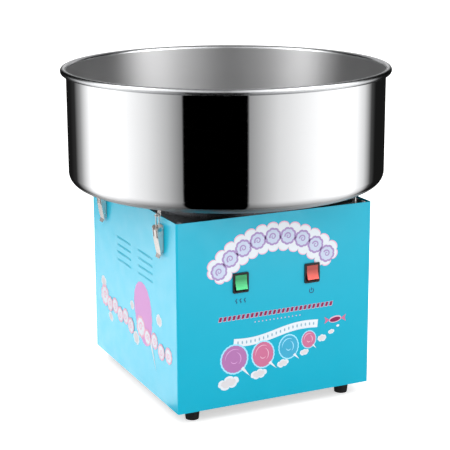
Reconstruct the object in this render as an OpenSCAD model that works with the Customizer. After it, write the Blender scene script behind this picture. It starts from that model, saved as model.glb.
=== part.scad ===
// Cotton candy machine: steel cabinet, lift-off spun bowl, belt-free heated spinner head.
// Origin: centre of the footprint at floor level. +Z up, the front faces -Y.

/* [Cabinet] */
// Cabinet width, left to right
cab_w = 328; // [324:2:332]
// Cabinet depth, front to rear
cab_d = 354; // [350:2:358]
// Height of the cabinet walls above the feet
cab_h = 294; // [292:1:298]
// Sheet thickness of the cabinet
sheet = 1.2; // [1:0.1:1.5]
// Outside radius of the folded upright corners
fold_r = 3; // [2:0.5:5]
// Height of the rubber feet
foot_h = 20; // [18:1:24]
// Length of one vent slot
vent_len = 58; // [50:1:62]
// Height of one vent slot
vent_h = 2; // [1.6:0.2:4]
// Vertical spacing of the vent slots
vent_pitch = 12.4; // [11:0.2:14]

/* [Bowl] */
// Outside radius of the rolled rim
rim_r = 260; // [256:1:262]
// Outside radius of the rolled bead section
bead_r = 5; // [4:0.5:6]
// Total height to the top of the rim
total_h = 515; // [505:1:525]
// Sheet thickness of the bowl
bowl_t = 1; // [0.8:0.1:1.4]
// Gap between the cabinet top edge and the bowl floor
bowl_gap = 17; // [16:1:22]
// Outside radius of the bowl's bottom corner
bowl_corner = 20; // [14:1:28]
// Radius of the centre opening in the bowl floor
bowl_hole = 82; // [80:1:86]

/* [Spinner head] */
// Outside radius of the slotted band
band_r = 64; // [58:1:66]
// Height of the slotted band
band_h = 40; // [34:1:46]
// Number of slots around the band
band_slots = 36; // [24:2:48]
// Radius of the sugar opening in the cap
fill_r = 27; // [22:1:32]

/* [Switches] */
// Distance between the two switch centres
switch_gap = 121; // [110:1:130]
// Height of the switch centres above the floor
switch_z = 213; // [205:1:220]
// Tilt of a rocker on either side of centre
rocker_tilt = 10; // [8:1:11]

/* [Latches] */
// Distance of each latch from the cabinet's centre line, front to rear
latch_y = 121; // [112:1:126]
// Height of the lever pivot above the floor
pivot_z = 296; // [294:1:297]

/* [Hidden] */
top_z = foot_h + cab_h;
deck_z = top_z - 1.5;
hw = cab_w / 2;
hd = cab_d / 2;
bowl_z = top_z + bowl_gap;
wall_r = rim_r - 2 * bead_r + bowl_t;
rim_z = total_h - bead_r;
head_z = bowl_z + 29;
foot_x = hw - 34;
foot_y = hd - 26;
sw_x = switch_gap / 2;
piv = [7, pivot_z];
hook = [-1.5, -9];
rivet_z = [pivot_z - 31, pivot_z - 19];
bar_z = pivot_z + 21.1;
motor_z = 39;
ring_z = 214;
panel_screw_x = hw - 8;
panel_screw_z = [foot_h + 20, foot_h + cab_h / 2, top_z - 20];
deck_screw = [hw - 9, hd - 10];
vent_top = 238;
side_vents = [-54, 37];
rear_vents = [-62, 0, 62];
blade_t = 0.8;
motor_bolt = 60;
gland = [90, 55];
head_bolt_r = 50;
shaft_r = 7;
ear_out = 8.6;
cheek_in = 9;
cheek_out = 10;
leg_y = 6.2;
catch_rivet_y = 6;
ring_steps = [1, 21];
wire_r = 1.5;

// Helpers ---------------------------------------------------------------------------------

// A flat rectangle with round corners, centred on the origin.
module round_rect(w, h, r) {
  square([w - 2 * r, h], center = true);
  square([w, h - 2 * r], center = true);
  for (x = [-1, 1])
    for (y = [-1, 1])
      translate([x * (w / 2 - r), y * (h / 2 - r)])
        circle(r = r, $fn = 32);
}

// A cylinder from z = a to z = b.
module post(r, a, b) {
  translate([0, 0, a])
    cylinder(r = r, h = b - a, $fn = 48);
}

// A tube from z = a to z = b.
module tube(ro, ri, a, b) {
  difference() {
    post(ro, a, b);
    post(ri, a - 1, b + 1);
  }
}

// A slot with round ends along X, cut through Y.
module slot_cut(len, h, depth) {
  rotate([90, 0, 0])
    translate([0, 0, -depth / 2])
      linear_extrude(depth)
        union() {
          square([len - h, h], center = true);
          for (s = [-1, 1])
            translate([s * (len - h) / 2, 0])
              circle(d = h, $fn = 24);
        }
}

// Children copied to four places, mirrored left-right and front-rear.
module four(x, y) {
  for (sx = [-1, 1])
    for (sy = [-1, 1])
      translate([sx * x, sy * y, 0])
        children();
}

// Children drawn with +X pointing away from the cabinet's left or right side.
module at_side(side, y) {
  translate([side * hw, y, 0])
    rotate([0, 0, side < 0 ? 180 : 0])
      children();
}

// A profile in (outward, up) swept along the cabinet's side from a to b.
module swept(a, b) {
  translate([0, b, 0])
    rotate([90, 0, 0])
      linear_extrude(b - a)
        children();
}

// A round wire through a list of points, with a slightly swollen bend at each.
module wire(pts, r) {
  for (i = [0 : len(pts) - 2]) {
    v = pts[i + 1] - pts[i];
    l = norm(v);
    translate(pts[i])
      rotate([0, acos(v[2] / l), atan2(v[1], v[0])])
        cylinder(r = r, h = l, $fn = 32);
  }
  for (i = [1 : len(pts) - 2])
    translate(pts[i])
      sphere(r = 1.12 * r, $fn = 32);
}

// Cabinet ---------------------------------------------------------------------------------

// Children at the vent slots of one side, two columns of four.
module side_vent_places(s) {
  for (c = side_vents)
    for (i = [0 : 3])
      translate([s * hw, c, vent_top - i * vent_pitch])
        children();
}

// Holes for the rear panel's screws, three up each side.
module panel_screw_holes() {
  for (x = [-panel_screw_x, panel_screw_x])
    for (z = panel_screw_z)
      translate([x, hd, z])
        rotate([90, 0, 0])
          cylinder(r = 1.8, h = 8, center = true, $fn = 24);
}

module cabinet_shell() {
  color([0.25, 0.74, 0.85])
    difference() {
      union() {
        translate([0, 0, foot_h])
          linear_extrude(cab_h)
            difference() {
              round_rect(cab_w, cab_d, fold_r);
              round_rect(cab_w - 2 * sheet, cab_d - 2 * sheet, fold_r - sheet);
              translate([-hw, hd - fold_r - sheet])
                square([cab_w, fold_r + sheet + 1]);
            }
        // Ledge that carries the deck plate.
        translate([0, 0, deck_z - 2 * sheet])
          linear_extrude(sheet)
            difference() {
              square([cab_w - 1.5 * sheet, cab_d - 2 * fold_r - sheet], center = true);
              square([cab_w - 28, cab_d - 32], center = true);
            }
        // Side ends run straight back and turn in behind the rear panel.
        for (s = [-1, 1])
          translate([s > 0 ? hw - 14 : -hw, hd - 2 * sheet, foot_h])
            cube([14, sheet, cab_h]);
        for (s = [-1, 1])
          translate([s > 0 ? hw - sheet : -hw, hd - fold_r - sheet - 0.5, foot_h])
            cube([sheet, fold_r + 0.5, cab_h]);
        // Louvre blades that rise inward behind each vent slot.
        for (s = [-1, 1])
          side_vent_places(s)
            translate([-s * sheet / 2, -vent_len / 2 - 1, -vent_h / 2 - 0.9])
              rotate([0, -30 * s, 0])
                translate([s > 0 ? -blade_t : 0, 0, 0])
                  cube([blade_t, vent_len + 2, 5]);
      }
      // Switch openings.
      for (s = [-1, 1])
        translate([s * sw_x - 11.3, -hd - 1, switch_z - 14.1])
          cube([22.6, 6, 28.2]);
      for (s = [-1, 1])
        side_vent_places(s)
          rotate([0, 0, 90])
            slot_cut(vent_len, vent_h, 8);
      // Latch rivet holes.
      for (s = [-1, 1])
        for (y = [-1, 1])
          for (z = rivet_z)
            translate([s * hw, y * latch_y, z])
              rotate([0, 90, 0])
                cylinder(r = 2, h = 8, center = true, $fn = 24);
      // Screw holes for the deck plate.
      four(deck_screw[0], deck_screw[1])
        post(2.2, deck_z - 10, deck_z);
      panel_screw_holes();
    }
}

module rear_panel() {
  color([0.25, 0.74, 0.85])
    difference() {
      translate([-hw + 0.5, hd - sheet, foot_h + 0.5])
        cube([cab_w - 1, sheet, cab_h - 1]);
      for (c = rear_vents)
        for (i = [0 : 4])
          translate([c, hd, vent_top + 12 - i * vent_pitch])
            slot_cut(50, vent_h, 8);
      panel_screw_holes();
      translate([gland[0], hd, gland[1]])
        rotate([90, 0, 0])
          cylinder(r = 8.1, h = 8, center = true, $fn = 48);
    }
}

module top_plate() {
  color([0.8, 0.8, 0.82])
    difference() {
      translate([0, 0, deck_z - sheet])
        linear_extrude(sheet)
          round_rect(cab_w - 2 * sheet - 0.6, cab_d - 4 * sheet - 1.6, 2);
      post(30, 0, total_h);
      four(deck_screw[0], deck_screw[1])
        post(2.2, 0, total_h);
    }
}

module base_plate() {
  color([0.6, 0.62, 0.64])
    difference() {
      union() {
        translate([-hw + sheet + 0.2, -hd + sheet + 0.2, foot_h])
          cube([cab_w - 2 * sheet - 0.4, cab_d - 4 * sheet - 0.4, 1.5]);
        for (s = [-1, 1])
          translate([s > 0 ? hw - 2 * sheet - 0.2 : -hw + sheet + 0.2, -hd + 8, foot_h])
            cube([sheet, cab_d - 24, 14]);
      }
      four(foot_x, foot_y)
        post(3.1, 0, 60);
      four(motor_bolt, motor_bolt)
        post(3.1, 0, 60);
      // Air slots under the motor.
      for (i = [-3 : 3])
        for (s = [-1, 1])
          translate([s * 105, i * 22, foot_h])
            rotate([90, 0, 0])
              slot_cut(30, 3, 8);
    }
}

// A cross-head screw with the underside of its head at z = 0.
module cross_screw(shank_r, len, head_r, head_h) {
  difference() {
    union() {
      post(shank_r, -len, 0.5);
      post(head_r, 0, head_h);
    }
    for (a = [0, 90])
      rotate([0, 0, a])
        translate([-2, -0.4, head_h - 0.8])
          cube([4, 0.8, 2]);
  }
}

module panel_screws() {
  color([0.75, 0.75, 0.77]) {
    for (x = [-panel_screw_x, panel_screw_x])
      for (z = panel_screw_z)
        translate([x, hd, z])
          rotate([-90, 0, 0])
            cross_screw(1.75, 9, 3.6, 1.8);
    four(deck_screw[0], deck_screw[1])
      translate([0, 0, deck_z])
        cross_screw(2.1, 8, 3.8, 1.4);
  }
}

module foot() {
  color([0.08, 0.08, 0.09])
    difference() {
      union() {
        cylinder(r1 = 10.2, r2 = 12, h = foot_h - 2, $fn = 48);
        post(13, foot_h - 3, foot_h);
      }
      post(3.1, 8, foot_h + 1);
      post(6.5, -1, 8);
    }
}

module foot_front_left() {
  translate([-foot_x, -foot_y, 0])
    foot();
}

module foot_front_right() {
  translate([foot_x, -foot_y, 0])
    foot();
}

module foot_rear_left() {
  translate([-foot_x, foot_y, 0])
    foot();
}

module foot_rear_right() {
  translate([foot_x, foot_y, 0])
    foot();
}

// A hex-headed bolt standing on its head, from z = a to z = b, with a nut near the top.
module bolt(a, b, nut) {
  translate([0, 0, a])
    cylinder(r = 5.6, h = 4, $fn = 6);
  post(3, a + 3, b);
  translate([0, 0, nut])
    cylinder(r = 5.6, h = 4, $fn = 6);
}

module frame_bolts() {
  color([0.75, 0.75, 0.77]) {
    four(foot_x, foot_y)
      bolt(4, foot_h + 9, foot_h + 1.5);
    four(motor_bolt, motor_bolt)
      bolt(foot_h - 4, motor_z + 8, motor_z);
  }
}

// Bowl ------------------------------------------------------------------------------------

// Section of the bowl, radius along X and height along Y.
module bowl_section() {
  // Upright wall.
  translate([wall_r - bowl_t, bowl_z + bowl_corner])
    square([bowl_t, rim_z - bowl_z - bowl_corner]);
  // Rolled rim, left open on the inside so that it can drain.
  translate([rim_r - bead_r, rim_z])
    difference() {
      circle(r = bead_r, $fn = 48);
      circle(r = bead_r - bowl_t, $fn = 48);
      translate([-bead_r - 1, -bead_r - 1])
        square([4, bead_r + 1]);
    }
  // Bottom corner.
  intersection() {
    translate([wall_r - bowl_corner, bowl_z + bowl_corner])
      difference() {
        circle(r = bowl_corner, $fn = 64);
        circle(r = bowl_corner - bowl_t, $fn = 64);
      }
    translate([wall_r - bowl_corner, bowl_z])
      square([bowl_corner, bowl_corner]);
  }
  // Floor.
  translate([bowl_hole + 4, bowl_z])
    square([wall_r - bowl_corner - bowl_hole - 4, bowl_t]);
  // Upturned collar round the centre opening.
  intersection() {
    translate([bowl_hole + 4, bowl_z + 4])
      difference() {
        circle(r = 4, $fn = 32);
        circle(r = 4 - bowl_t, $fn = 32);
      }
    translate([bowl_hole, bowl_z])
      square([4, 4]);
  }
  translate([bowl_hole, bowl_z + 4])
    square([bowl_t, 14]);
}

module bowl() {
  color([0.86, 0.87, 0.89])
    difference() {
      rotate_extrude($fn = 128)
        bowl_section();
      for (sx = [-1, 1])
        for (sy = [-1, 1])
          for (w = [-catch_rivet_y, catch_rivet_y])
            translate([sx * (hw - 5), sy * latch_y + w, bowl_z - 5])
              cylinder(r = 1.6, h = 12, $fn = 24);
    }
}

module bowl_seat() {
  color([0.78, 0.78, 0.8])
    rotate_extrude($fn = 96) {
      translate([92, deck_z])
        square([9.2, 1.2]);
      translate([132, deck_z])
        square([10, 1.2]);
      translate([100, deck_z])
        square([1.2, bowl_z - 6 - deck_z]);
      translate([132, deck_z])
        square([1.2, bowl_z - 6 - deck_z]);
      translate([100, bowl_z - 7.2])
        square([33.2, 1.2]);
      translate([29, deck_z])
        square([8, 1.2]);
      translate([29, deck_z])
        square([1.2, 20]);
    }
}

module bowl_gasket() {
  color([0.1, 0.1, 0.11])
    rotate_extrude($fn = 96)
      difference() {
        translate([103, bowl_z - 6])
          square([27, 6]);
        for (x = [108, 116.5, 125])
          translate([x, bowl_z])
            circle(r = 1.5, $fn = 16);
      }
}

// Latches ---------------------------------------------------------------------------------

// Base plate with two ears for the lever's pins, narrow enough to hide behind the lever.
module latch_base() {
  color([0.8, 0.8, 0.82])
    difference() {
      union() {
        translate([0, -ear_out, pivot_z - 36])
          cube([1.5, 2 * ear_out, 42]);
        // Ears.
        for (y = [-ear_out, ear_out - 1])
          swept(y, y + 1)
            union() {
              translate([1, pivot_z - 3.6])
                square([piv[0] - 1, 7.2]);
              translate(piv)
                circle(r = 3.6, $fn = 32);
            }
      }
      for (z = rivet_z)
        translate([-1, 0, z])
          rotate([0, 90, 0])
            cylinder(r = 2, h = 4, $fn = 24);
      translate([0, 20, 0])
        rotate([90, 0, 0])
          translate([piv[0], piv[1], 0])
            cylinder(r = 1.5, h = 40, $fn = 24);
    }
}

// Lever: two cheeks round the pivot and a sloping cover that ends in a turned-out tip. A
// tongue runs up between the legs of the loop.
module latch_lever() {
  color([0.86, 0.86, 0.88])
    difference() {
      union() {
        // Cheeks.
        for (y = [-cheek_out, cheek_in])
          swept(y, y + cheek_out - cheek_in)
            union() {
              translate(piv)
                circle(r = 3.8, $fn = 32);
              polygon([[3.3, pivot_z], [1.3, pivot_z - 5], [1, pivot_z - 15],
                [1.6, pivot_z - 27], [3.3, pivot_z - 35], [4.9, pivot_z - 35],
                [9, pivot_z - 13.4], [10.2, pivot_z - 3], [10.4, pivot_z + 1],
                [9.6, pivot_z + 2.6]]);
            }
        // Cover.
        difference() {
          swept(-cheek_out, cheek_out)
            polygon([[8.2, pivot_z - 13.4], [9.4, pivot_z - 13.4], [4.9, pivot_z - 39],
              [7.4, pivot_z - 44.6], [6.4, pivot_z - 45.2], [3.6, pivot_z - 39]]);
          // Narrowing end with round corners.
          for (s = [-1, 1])
            translate([0, s * 14.8, pivot_z - 45])
              rotate([-s * 15, 0, 0])
                translate([0, -8, -4])
                  cube([20, 16, 15]);
        }
        // Tongue.
        swept(-4.3, 4.3)
          polygon([[8.2, pivot_z - 13.6], [9.4, pivot_z - 13.4], [10.5, pivot_z - 2],
            [9.3, pivot_z - 2]]);
      }
      translate([0, 20, 0])
        rotate([90, 0, 0]) {
          translate([piv[0], piv[1], 0])
            cylinder(r = 1.56, h = 40, $fn = 24);
          translate([piv[0] + hook[0], piv[1] + hook[1], 0])
            cylinder(r = 1.06, h = 40, $fn = 24);
        }
    }
}

// Wire loop hooked into the lever's cheeks and over the bowl's catch.
module latch_loop() {
  q = piv + hook;
  color([0.82, 0.82, 0.84])
    wire([[q[0], -cheek_out - 0.1, q[1]], [q[0], -leg_y, q[1]], [5.5, -leg_y, bar_z],
      [5.5, leg_y, bar_z], [q[0], leg_y, q[1]], [q[0], cheek_out + 0.1, q[1]]], 1);
}

// Catch hanging from the bowl floor, with a flat lip that the loop pulls down on.
module bowl_catch() {
  color([0.8, 0.8, 0.82])
    difference() {
      union() {
        swept(-4.5, 4.5)
          polygon([[2, bowl_z - 1.5], [2, bar_z - 2.8], [9, bar_z - 2.8],
            [9, bar_z - 1.4], [3.5, bar_z - 1.4], [3.5, bowl_z - 1.5]]);
        translate([-12, -10, bowl_z - 1.5])
          cube([17, 20, 1.5]);
      }
      for (w = [-catch_rivet_y, catch_rivet_y])
        translate([-5, w, bowl_z - 5])
          cylinder(r = 1.6, h = 12, $fn = 24);
    }
}

module latch_base_front_left() {
  at_side(-1, -latch_y)
    latch_base();
}

module latch_base_front_right() {
  at_side(1, -latch_y)
    latch_base();
}

module latch_base_rear_left() {
  at_side(-1, latch_y)
    latch_base();
}

module latch_base_rear_right() {
  at_side(1, latch_y)
    latch_base();
}

module latch_lever_front_left() {
  at_side(-1, -latch_y)
    latch_lever();
}

module latch_lever_front_right() {
  at_side(1, -latch_y)
    latch_lever();
}

module latch_lever_rear_left() {
  at_side(-1, latch_y)
    latch_lever();
}

module latch_lever_rear_right() {
  at_side(1, latch_y)
    latch_lever();
}

module latch_loop_front_left() {
  at_side(-1, -latch_y)
    latch_loop();
}

module latch_loop_front_right() {
  at_side(1, -latch_y)
    latch_loop();
}

module latch_loop_rear_left() {
  at_side(-1, latch_y)
    latch_loop();
}

module latch_loop_rear_right() {
  at_side(1, latch_y)
    latch_loop();
}

module bowl_catch_front_left() {
  at_side(-1, -latch_y)
    bowl_catch();
}

module bowl_catch_front_right() {
  at_side(1, -latch_y)
    bowl_catch();
}

module bowl_catch_rear_left() {
  at_side(-1, latch_y)
    bowl_catch();
}

module bowl_catch_rear_right() {
  at_side(1, latch_y)
    bowl_catch();
}

module latch_pins() {
  color([0.7, 0.7, 0.72])
    for (side = [-1, 1])
      for (y = [-1, 1])
        at_side(side, y * latch_y)
          for (s = [-1, 1])
            translate([piv[0], 0, piv[1]])
              rotate([s > 0 ? -90 : 90, 0, 0]) {
                post(1.5, 7.4, 10.5);
                post(2.7, 10.4, 11.3);
              }
}

module latch_rivets() {
  color([0.7, 0.7, 0.72])
    for (side = [-1, 1])
      for (y = [-1, 1])
        at_side(side, y * latch_y)
          for (z = rivet_z)
            translate([0, 0, z])
              rotate([0, 90, 0]) {
                post(1.95, -2.4, 1.6);
                post(3.4, 1.5, 2.5);
                post(3, -2.6, -1.2);
              }
}

module catch_rivets() {
  color([0.75, 0.75, 0.77])
    for (side = [-1, 1])
      for (y = [-1, 1])
        at_side(side, y * latch_y)
          for (w = [-catch_rivet_y, catch_rivet_y])
            translate([-5, w, bowl_z]) {
              post(1.55, -2, bowl_t + 0.5);
              post(3, bowl_t, bowl_t + 1);
              post(2.8, -2.4, -1.5);
            }
}

// Switches --------------------------------------------------------------------------------

// Rocker switch housing with a bezel, open at the front.
module switch_housing() {
  color([0.07, 0.07, 0.08])
    difference() {
      union() {
        translate([0, -hd, switch_z])
          rotate([90, 0, 0])
            linear_extrude(2)
              round_rect(26, 31, 2);
        translate([-11.2, -hd - 0.5, switch_z - 14])
          cube([22.4, 20.5, 28]);
      }
      translate([-9.9, -hd - 3, switch_z - 12.7])
        cube([19.8, 17, 25.4]);
      translate([0, -hd + 4, switch_z])
        rotate([0, 90, 0])
          cylinder(r = 1.56, h = 40, center = true, $fn = 24);
      for (z = [-8, 0, 8])
        translate([-3.2, -hd + 15, switch_z + z - 0.45])
          cube([6.4, 8, 0.9]);
    }
}

// Rocker with shallow V face, on two stub axles. Drawn with its upper end pressed in.
module rocker() {
  translate([0, -hd + 4, switch_z])
    rotate([-rocker_tilt, 0, 0]) {
      translate([9.5, 0, 0])
        rotate([0, -90, 0])
          linear_extrude(19)
            polygon([[-11, -8.4], [0, -6.6], [11, -8.4], [11.4, -5], [10.6, 2.5], [4, 5],
              [-4, 5], [-10.6, 2.5], [-11.4, -5]]);
      rotate([0, 90, 0])
        cylinder(r = 1.5, h = 22, center = true, $fn = 24);
    }
}

module heater_switch_housing() {
  translate([-sw_x, 0, 0])
    switch_housing();
}

module power_switch_housing() {
  translate([sw_x, 0, 0])
    switch_housing();
}

module heater_rocker() {
  color([0.1, 0.75, 0.3])
    translate([-sw_x, 0, 0])
      rocker();
}

module power_rocker() {
  color([0.85, 0.12, 0.1])
    translate([sw_x, 0, 0])
      rocker();
}

module switch_terminals() {
  color([0.85, 0.7, 0.35])
    for (s = [-1, 1])
      for (z = [-8, 0, 8])
        translate([s * sw_x - 3.15, -hd + 16.5, switch_z + z - 0.4])
          cube([6.3, 12, 0.8]);
}

// Spinner head ----------------------------------------------------------------------------

module spinner_base() {
  color([0.75, 0.76, 0.78])
    difference() {
      rotate_extrude($fn = 96)
        union() {
          translate([shaft_r, head_z - 10])
            square([11, 24]);
          translate([shaft_r, head_z])
            square([band_r + 4 - shaft_r, 4]);
          translate([band_r, head_z])
            square([4, 6]);
        }
      for (a = [0 : 60 : 300])
        rotate([0, 0, a])
          translate([head_bolt_r, 0, 0])
            post(1.6, 0, total_h);
      for (a = [30 : 60 : 330])
        rotate([0, 0, a])
          translate([34, 0, 0])
            post(5, 0, total_h);
    }
}

module spinner_band() {
  color([0.8, 0.81, 0.83])
    difference() {
      tube(band_r, band_r - 1, head_z + 4, head_z + 4 + band_h);
      for (i = [0 : band_slots - 1])
        rotate([0, 0, (i + 0.5) * 360 / band_slots])
          translate([band_r - 4, -1.2, head_z + 10])
            cube([8, 2.4, band_h - 12]);
    }
}

module spinner_cap() {
  color([0.82, 0.83, 0.85])
    difference() {
      rotate_extrude($fn = 96)
        polygon([[fill_r, head_z + band_h + 12], [fill_r + 1.6, head_z + band_h + 12],
          [fill_r + 3, head_z + band_h + 8], [band_r - 6, head_z + band_h + 6],
          [band_r + 4, head_z + band_h + 5.6], [band_r + 4, head_z + band_h - 2],
          [band_r + 0.4, head_z + band_h - 2], [band_r + 0.4, head_z + band_h + 4],
          [fill_r + 1, head_z + band_h + 4], [fill_r, head_z + band_h + 6]]);
      for (a = [0 : 60 : 300])
        rotate([0, 0, a])
          translate([head_bolt_r, 0, 0])
            post(1.6, 0, total_h);
    }
}

module sugar_pan() {
  color([0.8, 0.8, 0.82])
    rotate_extrude($fn = 96)
      polygon([[18.2, head_z + 9], [40, head_z + 11], [43.5, head_z + 36], [42.5, head_z + 36.2],
        [39, head_z + 12.2], [18.2, head_z + 10.2]]);
}

module heater_coil() {
  color([0.55, 0.4, 0.3])
    rotate_extrude($fn = 96)
      for (i = [0 : 5])
        translate([56, head_z + 11.5 + i * 4.6])
          square([1.2, 2.6]);
}

module heater_insulators() {
  color([0.92, 0.9, 0.85])
    for (a = [0 : 60 : 300])
      rotate([0, 0, a])
        translate([head_bolt_r, 0, 0])
          tube(5.4, 1.8, head_z + 4, head_z + band_h + 4);
}

module head_fasteners() {
  color([0.75, 0.75, 0.77]) {
    for (a = [0 : 60 : 300])
      rotate([0, 0, a])
        translate([head_bolt_r, 0, 0]) {
          post(1.55, head_z - 3, head_z + band_h + 7.2);
          post(3.2, head_z + band_h + 7, head_z + band_h + 9);
          translate([0, 0, head_z - 2.6])
            cylinder(r = 3.2, h = 2.4, $fn = 6);
        }
    difference() {
      translate([0, 0, head_z + 14])
        cylinder(r = 12, h = 7, $fn = 6);
      post(shaft_r, head_z, head_z + 40);
    }
  }
}

module spindle() {
  color([0.72, 0.73, 0.75])
    union() {
      post(shaft_r, 30, head_z + 23);
      post(9, motor_z + 17, motor_z + 20.5);
      post(9, motor_z + 91.5, motor_z + 95);
      post(11, ring_z + 40, ring_z + 44);
    }
}

module slip_ring_insulator() {
  color([0.45, 0.25, 0.12])
    rotate_extrude($fn = 64)
      union() {
        translate([shaft_r, ring_z - 8])
          square([8, 48]);
        for (z = [-8, 12, 32])
          translate([shaft_r, ring_z + z])
            square([11, 8]);
      }
}

module slip_rings() {
  color([0.85, 0.65, 0.3])
    for (z = ring_steps)
      tube(20, 15, ring_z + z, ring_z + z + 10);
}

module rotor() {
  color([0.5, 0.5, 0.52])
    difference() {
      tube(29, shaft_r, motor_z + 21, motor_z + 91);
      for (a = [0 : 30 : 330])
        rotate([0, 0, a])
          translate([28, 0, 0])
            post(2, motor_z, motor_z + 120);
    }
}

// Motor -----------------------------------------------------------------------------------

module motor_housing() {
  color([0.3, 0.32, 0.34])
    difference() {
      tube(54, 51, motor_z + 8, motor_z + 104);
      for (a = [0 : 45 : 315])
        rotate([0, 0, a])
          for (z = [14, 88])
            translate([48, -7, motor_z + z])
              cube([10, 14, 10]);
    }
}

module stator() {
  color([0.6, 0.35, 0.15])
    union() {
      tube(50.9, 30, motor_z + 28, motor_z + 84);
      tube(46, 34, motor_z + 23, motor_z + 89);
    }
}

module motor_end_bells() {
  color([0.35, 0.37, 0.39]) {
    difference() {
      union() {
        post(54, motor_z, motor_z + 8);
        post(22, motor_z, motor_z + 16);
      }
      post(16, motor_z + 4, motor_z + 30);
      post(9, 0, 200);
      four(motor_bolt, motor_bolt)
        post(4, 0, 200);
    }
    difference() {
      union() {
        post(54, motor_z + 104, motor_z + 112);
        post(22, motor_z + 96, motor_z + 112);
      }
      post(16, motor_z + 90, motor_z + 108);
      post(9, 0, 300);
    }
  }
}

module bearings() {
  color([0.78, 0.79, 0.8]) {
    tube(16, 7.05, motor_z + 4, motor_z + 16);
    tube(16, 7.05, motor_z + 96, motor_z + 108);
  }
}

module motor_bracket() {
  color([0.6, 0.62, 0.64])
    difference() {
      translate([0, 0, motor_z - 3])
        linear_extrude(3)
          round_rect(148, 148, 10);
      post(14, 0, 60);
      four(motor_bolt, motor_bolt)
        post(3.1, 0, 60);
    }
}

module motor_dampers() {
  color([0.08, 0.08, 0.09])
    four(motor_bolt, motor_bolt)
      difference() {
        union() {
          post(10, foot_h + 1.5, foot_h + 6);
          post(7.5, foot_h + 6, motor_z - 8);
          post(10, motor_z - 8, motor_z - 3);
        }
        post(3.1, 0, 60);
      }
}

module brush_holder() {
  color([0.15, 0.15, 0.16])
    difference() {
      union() {
        translate([27, -14, ring_z - 6])
          cube([26, 28, 44]);
        translate([38, -10, motor_z + 112])
          cube([15, 20, ring_z - 6 - motor_z - 112]);
      }
      for (z = ring_steps)
        translate([20, -6, ring_z + z + 1])
          cube([26, 12, 8]);
    }
}

module carbon_brushes() {
  color([0.2, 0.2, 0.21])
    for (z = ring_steps)
      difference() {
        translate([18, -5.9, ring_z + z + 1.1])
          cube([26, 11.8, 7.8]);
        post(20.3, ring_z, ring_z + 40);
      }
}

// Electrics -------------------------------------------------------------------------------

module terminal_block() {
  color([0.9, 0.88, 0.8])
    difference() {
      translate([78, 96, foot_h + 1.5])
        cube([44, 20, 16]);
      for (i = [0 : 3])
        translate([83.5 + i * 11, 106, foot_h + 8]) {
          cylinder(r = 3, h = 20, $fn = 24);
          rotate([90, 0, 0])
            cylinder(r = 2.2, h = 40, center = true, $fn = 24);
        }
    }
}

module cord_gland() {
  color([0.07, 0.07, 0.08])
    translate([gland[0], hd, gland[1]])
      rotate([-90, 0, 0])
        difference() {
          union() {
            post(8, -12, 2);
            post(12, 0, 4);
            post(9.5, 4, 14);
            translate([0, 0, -7])
              cylinder(r = 12, h = 7 - sheet - 0.1, $fn = 6);
          }
          post(4, -20, 20);
        }
}

// Leads from the switches to the terminal block, from there to the cord gland, and from the
// heater switch to the brushes.
module wiring() {
  color([0.2, 0.3, 0.6]) {
    wire([[-sw_x, -hd + 29, switch_z + 8], [-sw_x, -hd + 37, switch_z + 8],
      [-sw_x - 16, -hd + 37, switch_z + 8], [-sw_x - 16, -hd + 44, 30], [83.5, -106, 28],
      [83.5, 104, 28]], wire_r);
    wire([[sw_x, -hd + 29, switch_z + 8], [sw_x, -hd + 40, switch_z + 8],
      [94.5, -92, 28], [94.5, 104, 28]], wire_r);
    wire([[sw_x, -hd + 29, switch_z], [sw_x, -hd + 34, switch_z],
      [105.5, -99, 28], [105.5, 104, 28]], wire_r);
    wire([[94.5, 108, 28], [94.5, 128, 28], [gland[0], 148, gland[1]],
      [gland[0], hd - 14, gland[1]]], wire_r);
    wire([[-sw_x, -hd + 29, switch_z], [-sw_x, -hd + 50, switch_z],
      [66, -50, switch_z + 10], [70, 0, ring_z + 20], [53.4, 0, ring_z + 20]], wire_r);
  }
}

cabinet_shell();
rear_panel();
top_plate();
base_plate();
panel_screws();
foot_front_left();
foot_front_right();
foot_rear_left();
foot_rear_right();
frame_bolts();
bowl_seat();
bowl_gasket();
heater_switch_housing();
power_switch_housing();
heater_rocker();
power_rocker();
switch_terminals();
latch_base_front_left();
latch_base_front_right();
latch_base_rear_left();
latch_base_rear_right();
latch_lever_front_left();
latch_lever_front_right();
latch_lever_rear_left();
latch_lever_rear_right();
latch_loop_front_left();
latch_loop_front_right();
latch_loop_rear_left();
latch_loop_rear_right();
bowl_catch_front_left();
bowl_catch_front_right();
bowl_catch_rear_left();
bowl_catch_rear_right();
latch_pins();
latch_rivets();
bowl();
catch_rivets();
spinner_base();
spinner_band();
spinner_cap();
sugar_pan();
heater_coil();
heater_insulators();
head_fasteners();
spindle();
slip_ring_insulator();
slip_rings();
rotor();
motor_housing();
stator();
motor_end_bells();
bearings();
motor_bracket();
motor_dampers();
brush_holder();
carbon_brushes();
terminal_block();
cord_gland();
wiring();
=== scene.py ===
import math
import random

import bmesh
import bpy
from mathutils import Matrix, Vector


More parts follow.
